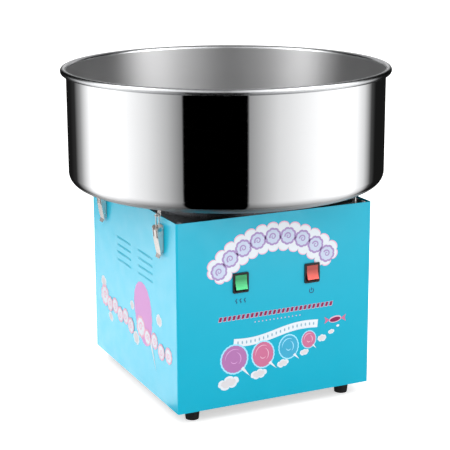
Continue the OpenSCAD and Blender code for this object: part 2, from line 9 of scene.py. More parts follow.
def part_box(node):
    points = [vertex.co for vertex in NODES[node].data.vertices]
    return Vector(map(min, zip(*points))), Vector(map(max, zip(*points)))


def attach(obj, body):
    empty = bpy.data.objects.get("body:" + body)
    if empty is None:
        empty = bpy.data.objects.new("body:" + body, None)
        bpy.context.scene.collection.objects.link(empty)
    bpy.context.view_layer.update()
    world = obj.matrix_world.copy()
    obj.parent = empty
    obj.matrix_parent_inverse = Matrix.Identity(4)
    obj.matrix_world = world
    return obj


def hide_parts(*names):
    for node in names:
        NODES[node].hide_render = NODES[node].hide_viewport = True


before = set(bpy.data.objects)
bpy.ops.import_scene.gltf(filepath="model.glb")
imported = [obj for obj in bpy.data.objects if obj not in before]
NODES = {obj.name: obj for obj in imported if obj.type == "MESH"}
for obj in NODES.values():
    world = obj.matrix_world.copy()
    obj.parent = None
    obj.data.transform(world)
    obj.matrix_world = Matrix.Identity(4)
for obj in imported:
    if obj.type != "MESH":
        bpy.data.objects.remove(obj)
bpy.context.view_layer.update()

SCENE = bpy.context.scene
MM = 0.001
CORNERS = ("front_left", "front_right", "rear_left", "rear_right")
# Half the painted cabinet's width and depth, and the latches' distance from its middle, in mm.
HALF_WIDTH, HALF_DEPTH, LATCH_ALONG = 164, 177, 121
SIDE, FRONT = HALF_WIDTH * MM, HALF_DEPTH * MM

# ---------------------------------------------------------------- camera

YAW, PITCH, ROLL = 0.4387, 0.2346, -0.0039
CAMERA_AT = (-0.9095, -1.9332, 0.8022)
forward = Vector((math.sin(YAW) * math.cos(PITCH), math.cos(YAW) * math.cos(PITCH), -math.sin(PITCH)))
right = Vector((math.cos(YAW), -math.sin(YAW), 0))
up = right.cross(forward)
side = math.cos(ROLL) * right + math.sin(ROLL) * up
top = -math.sin(ROLL) * right + math.cos(ROLL) * up
turn = Matrix((side, top, -forward)).transposed().to_4x4()
camera = bpy.data.objects.new("camera", bpy.data.cameras.new("camera"))
camera.data.sensor_width = 36
camera.data.lens = 108.98
camera.data.shift_y = -0.05
camera.data.clip_end = 30
camera.matrix_world = Matrix.Translation(CAMERA_AT) @ turn
SCENE.collection.objects.link(camera)
SCENE.camera = camera
SCENE.view_settings.view_transform = "Standard"
SCENE.view_settings.look = "None"

# ---------------------------------------------------------------- shader helpers


def set_inputs(node, values):
    for name, value in values.items():
        node.inputs[name].default_value = value


def shader(name, kind):
    """A material with one shader node and the output that it feeds."""
    m = bpy.data.materials.new(name)
    m.use_nodes = True
    tree = m.node_tree
    for n in list(tree.nodes):
        tree.nodes.remove(n)
    out = tree.nodes.new("ShaderNodeOutputMaterial")
    node = tree.nodes.new(kind)
    tree.links.new(node.outputs[0], out.inputs[0])
    return m, tree, node


def new_material(name):
    return shader(name, "ShaderNodeBsdfPrincipled")


def coords(tree, scale=(1, 1, 1)):
    """Object coordinates, stretched by scale."""
    tc = tree.nodes.new("ShaderNodeTexCoord")
    mp = tree.nodes.new("ShaderNodeMapping")
    mp.inputs["Scale"].default_value = scale
    tree.links.new(tc.outputs["Object"], mp.inputs["Vector"])
    return mp.outputs[0]


def noise(tree, vector, scale, detail=3.0, rough=0.55):
    n = tree.nodes.new("ShaderNodeTexNoise")
    set_inputs(n, {"Scale": scale, "Detail": detail, "Roughness": rough})
    tree.links.new(vector, n.inputs["Vector"])
    return n.outputs["Fac"]


def ramp(tree, fac, low, high, a=0.35, b=0.65):
    """Maps fac from a..b to low..high."""
    n = tree.nodes.new("ShaderNodeMapRange")
    set_inputs(n, {"From Min": a, "From Max": b, "To Min": low, "To Max": high})
    tree.links.new(fac, n.inputs["Value"])
    return n.outputs[0]


def mix(tree, fac, one, two, mode="MIX"):
    """Blends one into two by fac; each is an output, or a plain colour or number."""
    n = tree.nodes.new("ShaderNodeMix")
    n.data_type = "RGBA"
    n.blend_type = mode
    for name, value in (("Factor", fac), ("A", one), ("B", two)):
        if isinstance(value, bpy.types.NodeSocket):
            tree.links.new(value, n.inputs[name])
        else:
            n.inputs[name].default_value = (*value, 1) if isinstance(value, tuple) else value
    return n.outputs["Result"]


def scaled(color, k, lift=0.0):
    return tuple(min(1.0, c * k + lift) for c in color)


def bump(tree, bsdf, height, strength, distance):
    n = tree.nodes.new("ShaderNodeBump")
    set_inputs(n, {"Strength": strength, "Distance": distance})
    tree.links.new(height, n.inputs["Height"])
    tree.links.new(n.outputs[0], bsdf.inputs["Normal"])


def surface(name, color, rough, metal=0.0, vary=0.06, rough_vary=0.05, grain=900, grain_depth=0.02,
            stretch=(1, 1, 1), coat=0.0, wear=None, ior=1.5):
    """A procedural finish: tone patches, roughness smudges, fine grain, and optional worn specks."""
    m, tree, bsdf = new_material(name)
    at = coords(tree, stretch)
    base = mix(tree, noise(tree, at, 14, 4), scaled(color, 1 - vary), scaled(color, 1 + vary))
    if wear:
        base = mix(tree, ramp(tree, noise(tree, at, 240, 5, 0.7), 0, 1, 0.66, 0.72), base, wear)
    tree.links.new(base, bsdf.inputs["Base Color"])
    smudge = ramp(tree, noise(tree, at, 38, 5, 0.65), rough - rough_vary, rough + rough_vary)
    tree.links.new(smudge, bsdf.inputs["Roughness"])
    set_inputs(bsdf, {"Metallic": metal, "IOR": ior, "Coat Weight": coat, "Coat Roughness": 0.1})
    bump(tree, bsdf, noise(tree, at, grain, 2), 0.35, grain_depth * MM)
    return m


# ---------------------------------------------------------------- finishes of the CAD nodes

M = {
    # Powder coat: fine orange peel, faint dust, satin coat.
    "paint": surface("powder_coat", (0.001, 0.352, 0.498), 0.36, vary=0.025, rough_vary=0.04, grain=1500,
                     grain_depth=0.010, ior=1.25),
    "deck": surface("deck_steel", (0.58, 0.59, 0.61), 0.16, 1.0, grain=700, grain_depth=0.004, stretch=(1, 14, 1)),
    "seat": surface("seat_steel", (0.50, 0.51, 0.53), 0.26, 1.0, grain=900, grain_depth=0.01),
    "zinc": surface("zinc_plate", (0.63, 0.64, 0.66), 0.32, 1.0, vary=0.1, grain=600, grain_depth=0.02),
    "rubber": surface("foot_rubber", (0.012, 0.012, 0.013), 0.62, vary=0.25, grain=1600, grain_depth=0.03),
    "black": surface("black_plastic", (0.006, 0.006, 0.007), 0.28, vary=0.2, grain=1400, grain_depth=0.012),
    "brass": surface("contact_brass", (0.72, 0.52, 0.22), 0.28, 1.0, grain=900),
    "chrome": surface("latch_chrome", (0.80, 0.755, 0.725), 0.24, 0.72, vary=0.05, rough_vary=0.05, grain=500,
                      grain_depth=0.02, wear=(0.60, 0.56, 0.52)),
    "spun": surface("spun_aluminium", (0.78, 0.79, 0.81), 0.34, 1.0, vary=0.04, rough_vary=0.02, grain=700,
                    grain_depth=0.015),
    "ribbon": surface("heating_ribbon", (0.25, 0.17, 0.12), 0.45, 1.0, vary=0.4, grain=700,
                      wear=(0.12, 0.10, 0.16)),
    "ceramic": surface("ceramic", (0.82, 0.79, 0.72), 0.55, vary=0.06, grain=1800, grain_depth=0.03),
    "ground": surface("ground_steel", (0.56, 0.57, 0.59), 0.2, 1.0, grain=900, stretch=(1, 1, 12)),
    "resin": surface("brown_resin", (0.15, 0.06, 0.025), 0.4, vary=0.3, stretch=(1, 1, 6)),
    "core": surface("core_steel", (0.22, 0.22, 0.235), 0.5, 0.8, vary=0.15, stretch=(1, 1, 60)),
    "copper": surface("winding_copper", (0.48, 0.18, 0.07), 0.35, 0.8, vary=0.25, stretch=(1, 1, 40), coat=0.5),
    "enamel": surface("motor_enamel", (0.05, 0.055, 0.06), 0.42, vary=0.15, coat=0.2),
    "carbon": surface("carbon", (0.03, 0.03, 0.033), 0.5, vary=0.3),
    "cream": surface("cream_plastic", (0.76, 0.71, 0.58), 0.4, vary=0.05),
    "jacket": surface("wire_jacket", (0.03, 0.06, 0.30), 0.4, vary=0.1),
}

FINISHES = {
    "paint": ["cabinet_shell", "rear_panel"],
    "deck": ["top_plate"],
    "seat": ["bowl_seat"],
    "zinc": ["base_plate", "motor_bracket", "panel_screws", "frame_bolts", "head_fasteners", "latch_pins",
             "latch_rivets", "catch_rivets"],
    "rubber": ["motor_dampers", "bowl_gasket"] + ["foot_" + c for c in CORNERS],
    "black": ["heater_switch_housing", "power_switch_housing", "cord_gland", "brush_holder"],
    "brass": ["switch_terminals", "slip_rings"],
    "chrome": [part + c for part in ("latch_base_", "latch_lever_", "latch_loop_", "bowl_catch_") for c in CORNERS],
    "spun": ["spinner_base", "spinner_band", "spinner_cap", "sugar_pan"],
    "ribbon": ["heater_coil"],
    "ceramic": ["heater_insulators"],
    "ground": ["spindle", "bearings"],
    "resin": ["slip_ring_insulator"],
    "core": ["rotor"],
    "copper": ["stator"],
    "enamel": ["motor_housing", "motor_end_bells"],
    "carbon": ["carbon_brushes"],
    "cream": ["terminal_block"],
    "jacket": ["wiring"],
}


def set_finish(node, *materials):
    node.data.materials.clear()
    for m in materials:
        node.data.materials.append(m)


for key, names in FINISHES.items():
    for name in names:
        set_finish(NODES[name], M[key])


def lens(name, color):
    """Translucent moulded rocker under a glossy skin: tinted body with painted light low down and painted shade
    higher up.
    """
    painted_light_z0, painted_light_z1 = 0.206, 0.219
    m, tree, bsdf = new_material(name)
    at = coords(tree)
    split = tree.nodes.new("ShaderNodeSeparateXYZ")
    tree.links.new(at, split.inputs[0])
    # Painted light and shade: the lens colour is lighter low down and darker higher up.
    painted_light_mask = ramp(tree, split.outputs["Z"], 1, 0, painted_light_z0, painted_light_z1)
    painted_light_and_shade = mix(tree, painted_light_mask, scaled(color, 0.42), scaled(color, 1.15, 0.05))
    tone = mix(tree, noise(tree, at, 60, 3), (0.85, 0.85, 0.85), (1, 1, 1))
    tree.links.new(mix(tree, 1.0, painted_light_and_shade, tone, "MULTIPLY"), bsdf.inputs["Base Color"])
    tree.links.new(ramp(tree, noise(tree, at, 90, 4), 0.10, 0.22), bsdf.inputs["Roughness"])
    set_inputs(bsdf, {"Subsurface Weight": 0.35, "Subsurface Radius": (0.004, 0.004, 0.004),
                      "Subsurface Scale": 1.0, "Coat Weight": 0.8, "Coat Roughness": 0.05,
                      "Emission Color": (*color, 1), "Emission Strength": 0.10})
    bump(tree, bsdf, noise(tree, at, 900, 2), 0.25, 0.01 * MM)
    return m


for name, label, color in (("heater_rocker", "green_lens", (0.03, 0.58, 0.19)),
                           ("power_rocker", "red_lens", (0.74, 0.07, 0.045))):
    rocker = NODES[name]
    set_finish(rocker, lens(label, color), M["black"])
    # Only the two pressed faces are lens; the rocker's other faces take black plastic, painted shade on sides that
    # are translucent lens too.
    for face in rocker.data.polygons:
        face.material_index = 0 if (rocker.matrix_world.to_3x3() @ face.normal).y < -0.75 else 1

# ---------------------------------------------------------------- mesh helpers


def add_mesh(name, verts, faces, materials, body, slot, stands_for=()):
    me = bpy.data.meshes.new(name)
    me.from_pydata([tuple(v) for v in verts], [], faces)
    for m in materials:
        me.materials.append(m)
    me.polygons.foreach_set("use_smooth", [True] * len(me.polygons))
    me.update()
    o = bpy.data.objects.new(name, me)
    SCENE.collection.objects.link(o)
    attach(o, body)
    if stands_for:
        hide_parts(*stands_for)
    return o


def face_out(o):
    """Turns every face of a closed mesh outward."""
    bm = bmesh.new()
    bm.from_mesh(o.data)
    bmesh.ops.recalc_face_normals(bm, faces=bm.faces)
    bm.to_mesh(o.data)
    bm.free()


def lathe(name, profile, materials, body, **more):
    """A closed profile of (radius, height, material index) turned about Z."""
    steps = 256
    verts, faces, index = [], [], []
    n = len(profile)
    for i in range(steps):
        a = 2 * math.pi * i / steps
        for r, z, _ in profile:
            verts.append((r * math.cos(a), r * math.sin(a), z))
    for i in range(steps):
        j = (i + 1) % steps
        for k in range(n):
            q = (k + 1) % n
            faces.append((i * n + k, j * n + k, j * n + q, i * n + q))
            index.append(profile[k][2])
    o = add_mesh(name, verts, faces, materials, body, **more)
    o.data.polygons.foreach_set("material_index", index)
    face_out(o)


def polar(cx, cz, r, degrees):
    a = math.radians(degrees)
    return cx + r * math.cos(a), cz + r * math.sin(a)


# ---------------------------------------------------------------- bowl


def arc(cx, cz, r, a0, a1, n, finish):
    return [(*polar(cx, cz, r, a0 + (a1 - a0) * i / n), finish) for i in range(n + 1)]


def bowl_section():
    """One closed section: collar, underside and wall, tip of the curl, over the rim, then the inside."""
    low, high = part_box("bowl")
    gauge, bead, corner = 1.0 * MM, 5 * MM, 20 * MM
    hole, collar, fillet = 82 * MM, 18 * MM, 4 * MM
    # Radii of the points along the flat floor.
    flat = [hole + 30 * MM + i * 0.02 for i in range(6)]
    z0, z1 = low.z, high.z - bead
    wall = high.x - 2 * bead + gauge
    curl = high.x - bead
    mirror, satin, lip = 0, 1, 2
    # The mirror polish starts part of the way round the outer corner; the darker satin below it and on the underside
    # and collar is painted shade on a bowl that is mirror polished outside.
    painted_shade_until = 10
    p = [(hole, z0 + collar, satin), (hole, z0 + 5 * MM, mirror)]
    p += arc(hole + fillet, z0 + fillet, fillet, 180, 270, 6, mirror)
    p += [(r, z0, satin) for r in flat]
    p += [(r, z, mirror if i >= painted_shade_until else satin)
          for i, (r, z, _) in enumerate(arc(wall - corner, z0 + corner, corner, -90, 0, 16, mirror))]
    p += [(wall, z0 + corner + (z1 - bead - z0 - corner) * i / 10, mirror) for i in range(1, 10)]
    p += [(wall, z1 - bead * 0.70, mirror), (wall, z1 - 0.05 * MM, mirror)]
    p += arc(curl, z1, bead - gauge, 180, -140, 30, lip)[1:]
    p += arc(curl, z1, bead, 178, -142, 34, lip)[::-1]
    p += [(wall - gauge, z1 - (z1 - z0 - corner) * i / 10, satin) for i in range(10)]
    p += arc(wall - corner, z0 + corner, corner - gauge, 0, -90, 16, satin)
    p += [(r, z0 + gauge, satin) for r in reversed(flat)]
    p += arc(hole + fillet, z0 + fillet, fillet - gauge, 270, 180, 6, satin)
    p += [(hole + gauge, z0 + collar, satin)]
    return p


def turned(name, rough, base):
    """Satin sheet with fine rings left by turning: grain follows the radius and the height."""
    m, tree, bsdf = new_material(name)
    tc = tree.nodes.new("ShaderNodeTexCoord")
    split = tree.nodes.new("ShaderNodeSeparateXYZ")
    tree.links.new(tc.outputs["Object"], split.inputs[0])
    flat = tree.nodes.new("ShaderNodeCombineXYZ")
    tree.links.new(split.outputs["X"], flat.inputs["X"])
    tree.links.new(split.outputs["Y"], flat.inputs["Y"])
    radius = tree.nodes.new("ShaderNodeVectorMath")
    radius.operation = "LENGTH"
    tree.links.new(flat.outputs[0], radius.inputs[0])
    joined = tree.nodes.new("ShaderNodeCombineXYZ")
    tree.links.new(radius.outputs["Value"], joined.inputs["X"])
    tree.links.new(split.outputs["Z"], joined.inputs["Z"])
    rings = noise(tree, joined.outputs[0], 900, 3, 0.6)
    tree.links.new(mix(tree, rings, scaled(base, 0.93), base), bsdf.inputs["Base Color"])
    tree.links.new(ramp(tree, rings, rough - 0.03, rough + 0.03), bsdf.inputs["Roughness"])
    # Light fans out across the rings and stays tight along them.
    set_inputs(bsdf, {"Metallic": 1.0, "Anisotropic": 0.9, "Anisotropic Rotation": 0.25})
    along = tree.nodes.new("ShaderNodeTangent")
    along.direction_type = "RADIAL"
    along.axis = "Z"
    tree.links.new(along.outputs[0], bsdf.inputs["Tangent"])
    bump(tree, bsdf, rings, 0.3, 0.002 * MM)
    return m


def polished(name, rough, rough_vary, base):
    """Mirror steel with faint smudges and polishing scratches."""
    m, tree, bsdf = new_material(name)
    at = coords(tree, (1, 1, 3))
    tree.links.new(mix(tree, noise(tree, at, 9, 3), scaled(base, 0.97), base), bsdf.inputs["Base Color"])
    smudge = ramp(tree, noise(tree, at, 30, 5, 0.7), rough - rough_vary, rough + rough_vary)
    tree.links.new(smudge, bsdf.inputs["Roughness"])
    bsdf.inputs["Metallic"].default_value = 1.0
    bump(tree, bsdf, noise(tree, at, 420, 3), 0.2, 0.0006 * MM)
    return m


BOWL_FINISHES = [polished("bowl_mirror", 0.035, 0.02, (0.90, 0.905, 0.915)),
                 turned("bowl_satin", 0.44, (0.52, 0.52, 0.524)),
                 turned("bowl_bead", 0.24, (0.68, 0.69, 0.705))]
lathe("bowl_spun", bowl_section(), BOWL_FINISHES, "bowl", stands_for=("bowl",), slot="bowl_steel")

# ---------------------------------------------------------------- outlines for the printed artwork
# Coordinates are millimetres on the panel: across, then up.


def tilted(cx, cz, x, z, tilt):
    """The point (x, z) turned by tilt about the origin, then moved to (cx, cz)."""
    c, s = math.cos(tilt), math.sin(tilt)
    return cx + c * x - s * z, cz + s * x + c * z


def disc(cx, cz, rx, rz=None, tilt=0.0, n=40):
    rz = rx if rz is None else rz
    out = []
    for i in range(n):
        a = 2 * math.pi * i / n
        out.append(tilted(cx, cz, rx * math.cos(a), rz * math.sin(a), tilt))
    return out


def lobes(anchors, bulge=0.5, n=8):
    """A closed outline of arcs that bulge outward between anchors (anticlockwise)."""
    out = []
    for i, (x0, z0) in enumerate(anchors):
        x1, z1 = anchors[(i + 1) % len(anchors)]
        dx, dz = x1 - x0, z1 - z0
        for k in range(n):
            t = (1 - math.cos(math.pi * k / n)) / 2
            h = math.sin(math.pi * k / n) * bulge * 0.62
            out.append((x0 + dx * t + dz * h, z0 + dz * t - dx * h))
    return out


def cloud(cx, cz, w, h, tilt, seed):
    rng = random.Random(seed)
    n = 7
    pts = []
    for i in range(n):
        a = 2 * math.pi * (i + 0.3 * rng.random()) / n
        k = 0.80 + 0.12 * rng.random()
        pts.append(tilted(cx, cz, k * w / 2 * math.cos(a), k * h / 2 * math.sin(a), tilt))
    return lobes(pts, 0.5)


def band(line, half):
    """A strip either side of a centre line; half is half its width, or gives that from 0 to 1 along it."""
    left_edge, right_edge = [], []
    for i, (x, z) in enumerate(line):
        a, b = line[max(i - 1, 0)], line[min(i + 1, len(line) - 1)]
        dx, dz = b[0] - a[0], b[1] - a[1]
        length = math.hypot(dx, dz)
        h = half(i / (len(line) - 1)) if callable(half) else half
        left_edge.append((x - dz / length * h, z + dx / length * h))
        right_edge.append((x + dz / length * h, z - dx / length * h))
    return right_edge + left_edge[::-1]


# ---------------------------------------------------------------- printed artwork
# Thin vinyl shapes: clouds, sweets and a ribbon.

VINYL = {
    "white": (0.64, 0.68, 0.72), "cream": (0.60, 0.57, 0.59), "lavender": (0.34, 0.24, 0.46),
    "pale": (0.48, 0.54, 0.67), "purple": (0.38, 0.15, 0.36), "pink": (0.52, 0.14, 0.26),
    "rose": (0.70, 0.40, 0.52), "blue": (0.04, 0.34, 0.52), "sky": (0.30, 0.66, 0.82),
    "wine": (0.22, 0.012, 0.07), "ink": (0.02, 0.03, 0.10), "lilac": (0.60, 0.31, 0.58),
    "slate": (0.22, 0.38, 0.48),
}
for key, value in VINYL.items():
    M["vinyl_" + key] = surface("vinyl_" + key, value, 0.34, vary=0.05, rough_vary=0.04, grain=1300,
                                grain_depth=0.012, ior=1.3)

# Thickness of one printed layer.
LAYER = 0.10 * MM


class Panel:
    """A flat face that takes printed shapes; place turns (across mm, up mm, proud m) into a point."""

    def __init__(self, name, place):
        self.name, self.place, self.parts = name, place, {}

    def shape(self, color, outline, layer):
        """outline is a closed list of (across, up) points; layer 0 lies on the paint."""
        self.parts.setdefault(color, []).append((outline, layer))

    def build(self):
        for color, shapes in self.parts.items():
            bm = bmesh.new()
            for outline, layer in shapes:
                low, high = layer * LAYER, (layer + 1) * LAYER
                ring = [bm.verts.new(self.place(x, z, high)) for x, z in outline]
                foot = [bm.verts.new(self.place(x, z, low)) for x, z in outline]
                n = len(ring)
                bm.faces.new(ring)
                for i in range(n):
                    j = (i + 1) % n
                    bm.faces.new((ring[i], foot[i], foot[j], ring[j]))
                bm.faces.new(foot[::-1])
            bmesh.ops.recalc_face_normals(bm, faces=bm.faces)
            bmesh.ops.triangulate(bm, faces=[f for f in bm.faces if len(f.verts) > 4])
            me = bpy.data.meshes.new(f"{self.name}_{color}")
            bm.to_mesh(me)
            bm.free()
            me.materials.append(M["vinyl_" + color])
            o = bpy.data.objects.new(f"{self.name}_{color}", me)
            SCENE.collection.objects.link(o)
            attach(o, "cabinet")


def puff(panel, cx, cz, rx, rz, color, tip, shine):
    """A ball of floss on a paper cone that ends at tip."""
    dx, dz = tip[0] - cx, tip[1] - cz
    length = math.hypot(dx, dz)
    ux, uz = dx / length, dz / length
    edge = (cx + ux * rx * 0.92, cz + uz * rz * 0.92)
    w = rx * 0.13
    panel.shape("white", [tip, (edge[0] + uz * w, edge[1] - ux * w), (edge[0] - uz * w, edge[1] + ux * w)], 3)
    ring = disc(cx, cz, rx, rz, n=22)
    for fill, grow, bulge, layer in (("sky", 1.06, 0.30, 1), (color, 0.955, 0.25, 2)):
        panel.shape(fill, lobes([(cx + (x - cx) * grow, cz + (z - cz) * grow) for x, z in ring], bulge, 5), layer)
    # Strands of spun sugar.
    for k in range(3):
        strand = []
        for i in range(17):
            a = math.radians(200 + 110 * k + 120 * i / 16)
            g = 0.30 + 0.21 * k
            strand.append((cx + g * rx * math.cos(a), cz + g * rz * math.sin(a)))
        panel.shape(shine, band(strand, lambda t: 0.15 + 0.55 * math.sin(math.pi * t)), 4)


def swirl_sweet(panel, x, z, r, start, edge, fill, layer):
    """A round lobed sweet with a spiral drawn on it, from the angle start."""
    panel.shape(edge, lobes(disc(x, z, 0.95 * r, n=9), 0.036 * r), layer)
    panel.shape(fill, lobes(disc(x, z, 0.73 * r, n=9), 0.036 * r), layer + 1)
    line = []
    for k in range(26):
        t = k / 25
        b = start + t * 2 * math.pi * 1.3
        line.append((x + (0.08 + 0.36 * t) * r * math.cos(b), z + (0.08 + 0.36 * t) * r * math.sin(b)))
    panel.shape(edge, band(line, lambda t: (0.04 + 0.055 * t) * r), layer + 2)


def sweet_badge(p):
    """An arched cloud with a rose edge, and a row of sweets along it."""
    cx, cz, r_in, r_mid, r_out = -2.0, 155.5, 107.0, 122, 137.0
    a0, a1 = 40.5, 143.5
    outer_steps, inner_steps = 13, 11

    def arch(grow, bulge):
        stops = [(a0 + (a1 - a0) * i / outer_steps, r_out + grow) for i in range(outer_steps + 1)]
        stops.append((a1 + grow * 0.4 + 1.6, r_mid))
        stops += [(a1 - (a1 - a0) * i / inner_steps, r_in - grow) for i in range(inner_steps + 1)]
        stops.append((a0 - grow * 0.4 - 1.6, r_mid))
        return lobes([polar(cx, cz, r, a) for a, r in stops], bulge)

    p.shape("rose", arch(1.6, 0.60), 0)
    p.shape("white", arch(0.1, 0.58), 1)
    count = 9
    for i in range(count):
        a = math.radians(a0 + 3.5 + (a1 - a0 - 7) * i / (count - 1))
        x, z = cx + 122.5 * math.cos(a), cz + 122.5 * math.sin(a)
        swirl_sweet(p, x, z, 12.9, a, "lavender", "pale", 2)


def switch_marks(p):
    """Warm air under the heater switch, and a broken ring with a bar under the power switch."""
    for k in (-1, 0, 1):
        line = [(-60.5 + k * 7 + 1.1 * math.sin(t * 0.9), 181 + t * 0.8) for t in range(10)]
        p.shape("ink", band(line, 0.65), 0)
    x, z = 60.5, 184.5
    ring = [polar(x, z, 3.6, 90 + 38 + 284 * k / 24) for k in range(25)]
    p.shape("ink", band(ring, 0.6), 0)
    p.shape("ink", band([(x, z), (x, 189.2)], 0.6), 0)


def stripe_rule(p):
    """A candy-stripe rule, and a row of dots under it."""
    for i in range(26):
        x = -97 + i * 7.55
        h = 7.4
        p.shape("rose", [(x - 0.6, 155.3), (x + 5.0, 155.3), (x + 7.0, 155.3 + h), (x + 1.4, 155.3 + h)], 0)
        p.shape("wine", [(x, 155.9), (x + 4.4, 155.9), (x + 6.3, 154.9 + h), (x + 1.9, 154.9 + h)], 1)
    for i in range(13):
        p.shape("rose", disc(-36 + i * 6.4, 147.8, 0.9, n=14), 0)


def ribbon(p):
    """A wavy ribbon with a row of ovals."""
    line = []
    for i in range(41):
        t = i / 40
        line.append((-72 + 144 * t, 119.5 + 10.5 * (t * t * (3 - 2 * t)) - 2.6 * math.sin(2 * math.pi * t)))
    p.shape("white", band(line, 6.3), 0)
    for x, z in line[2:39:2]:
        p.shape("slate", disc(x, z, 1.2, 2.6, n=16), 1)


def front_art():
    p = Panel("front_art", lambda x, z, d: (x * MM, -FRONT - d, z * MM))
    sweet_badge(p)
    switch_marks(p)
    stripe_rule(p)
    ribbon(p)
    puff(p, -71, 93.5, 21.5, 22, "purple", (-45, 63), "lilac")
    puff(p, -22.5, 94, 18, 20.5, "pink", (1, 68), "rose")
    puff(p, 21.5, 99.5, 16, 18.5, "blue", (40, 77), "sky")
    puff(p, 56.7, 106, 12, 13.5, "pink", (70, 90), "rose")
    for i, (x, z, w, h) in enumerate(((-81, 57, 40, 18), (-29, 63.5, 32, 14), (11.5, 74, 23, 11), (49, 86.5, 17, 9),
                                      (80, 105, 17, 12), (96, 113, 12, 7), (108, 121, 6, 4))):
        p.shape("white", cloud(x, z, w, h * 0.86, 0.18, i + 3), 0)
        if w > 10:
            p.shape("cream", cloud(x, z, w * 0.72, h * 0.58, 0.18, i + 3), 1)
    # Wrapped sweet.
    x, z = 103, 132.5
    p.shape("rose", disc(x, z, 11, 5.2, 0.12), 0)
    p.shape("wine", disc(x, 132.0, 9.4, 3.6, 0.12), 1)
    for s in (-1, 1):
        p.shape("pink", [(x + s * 10, z), (x + s * 19, 138.5), (x + s * 17, 132.8), (x + s * 19, 127)][::s], 2)
    p.build()


def side_art(name, place):
    p = Panel(name, place)
    # A big puff that narrows towards its stick.
    ring = []
    for i in range(20):
        a = 2 * math.pi * i / 20
        ring.append(tilted(-43, 139, 50 * math.cos(a), (34 - 6 * math.cos(a)) * math.sin(a), math.radians(-104)))
    p.shape("lilac", lobes(ring, 0.25, 5), 0)
    p.shape("white", [(-73, 109), (-66, 105), (-92, 62)], 1)
    for i, (x, z, w, h) in enumerate(((134, 144, 24, 20), (5, 140, 18, 14), (-107, 147, 24, 18), (103, 92, 22, 14),
                                      (-11, 90, 26, 19))):
        p.shape("white", cloud(x, z, w, h, 0.2, i + 20), 0)
        p.shape("cream", cloud(x, z, w * 0.7, h * 0.66, 0.2, i + 20), 1)
    # Two slanting rows of swirl sweets, each led by a bigger one.
    for x0, x1, z0, z1, count in ((129, 11, 119, 107, 6), (-32, -143, 112, 99, 5)):
        for i in range(count):
            t = i / (count - 1)
            x, z = x0 + (x1 - x0) * t, z0 + (z1 - z0) * t + 3 * (-1) ** i
            swirl_sweet(p, x, z, 16.5 if i == 0 else 12.5, 1.0 + i, "rose", "white", 2 + 3 * (i % 2))
    p.build()


def on_left(y, z, d):
    return -SIDE - d, y * MM, z * MM


def on_right(y, z, d):
    return SIDE + d, y * MM, z * MM


def on_rear(x, z, d):
    return x * MM, FRONT + d, z * MM


front_art()
side_art("left_art", on_left)
side_art("right_art", on_right)

# ---------------------------------------------------------------- louvres


def louvres(name, place, centres, rows, first, slot_length):
    """Pressed hoods over the vent slots: each swells out of the sheet and ends in a lip above its slot."""
    drop, proud, gauge, pitch, lip_gap = 2.6, 0.45, 0.45, 12.4, 0.35
    clear = 0.05
    length = slot_length + 3
    across, down = 28, 8
    n = down + 1
    verts, faces = [], []

    def add_hood(centre, lip):
        outer = len(verts)
        inner = outer + (across + 1) * n
        for level in (clear, -gauge):
            for i in range(across + 1):
                u = i / across
                ends = math.sin(math.pi * min(1, 6 * u, 6 * (1 - u)) / 2)
                for k in range(n):
                    v = k / down
                    d = proud * ends * math.sin(math.pi * v / 2) ** 1.5 + level
                    verts.append(place(centre + (u - 0.5) * length, lip + (1 - v) * drop, d * MM))
        for i in range(across):
            for k in range(down):
                q = (i * n + k, (i + 1) * n + k, (i + 1) * n + k + 1, i * n + k + 1)
                faces.append(tuple(outer + w for w in q))
                faces.append(tuple(inner + w for w in q[::-1]))
        border = ([i * n for i in range(across + 1)] + [across * n + k for k in range(1, n)]
                  + [i * n + down for i in range(across - 1, -1, -1)] + [k for k in range(down - 1, 0, -1)])
        for w0, w1 in zip(border, border[1:] + border[:1]):
            faces.append((outer + w0, inner + w0, inner + w1, outer + w1))

    for centre in centres:
        for row in range(rows):
            add_hood(centre, first - row * pitch - lip_gap)
    o = add_mesh(name, verts, faces, [M["paint"]], "cabinet", slot="cabinet_paint")
    face_out(o)
    return o


PAINTED = [NODES["cabinet_shell"],
           louvres("left_louvres", on_left, (-54, 37), 4, 238, 58),
           louvres("right_louvres", on_right, (-54, 37), 4, 238, 58),
           louvres("rear_louvres", on_rear, (-62, 0, 62), 5, 250, 50)]

# ---------------------------------------------------------------- latch wires


def wire_path():
    """Centre line of the latch wire, in mm: feet, two legs and a top bar, with round bends."""
    foot_z, bar_z, leg, end, bend, step = 287.0, 317.1, 6.2, 10.1, 2.0, 2.0
    path = [(-end, foot_z)]
    for y, z, a0, a1 in ((-leg - bend, foot_z + bend, -90, 0), (-leg + bend, bar_z - bend, 180, 90),
                         (leg - bend, bar_z - bend, 90, 0), (leg + bend, foot_z + bend, 180, 270)):
        path += [polar(y, z, bend, a0 + (a1 - a0) * i / 8) for i in range(9)]
    path.append((end, foot_z))
    # Legs and bar in shorter steps, so that every ring is close to the next.
    line = [path[0]]
    for (y0, z0), (y1, z1) in zip(path, path[1:]):
        steps = max(1, round(math.hypot(y1 - y0, z1 - z0) / step))
        line += [(y0 + (y1 - y0) * i / steps, z0 + (z1 - z0) * i / steps) for i in range(1, steps + 1)]
    return line


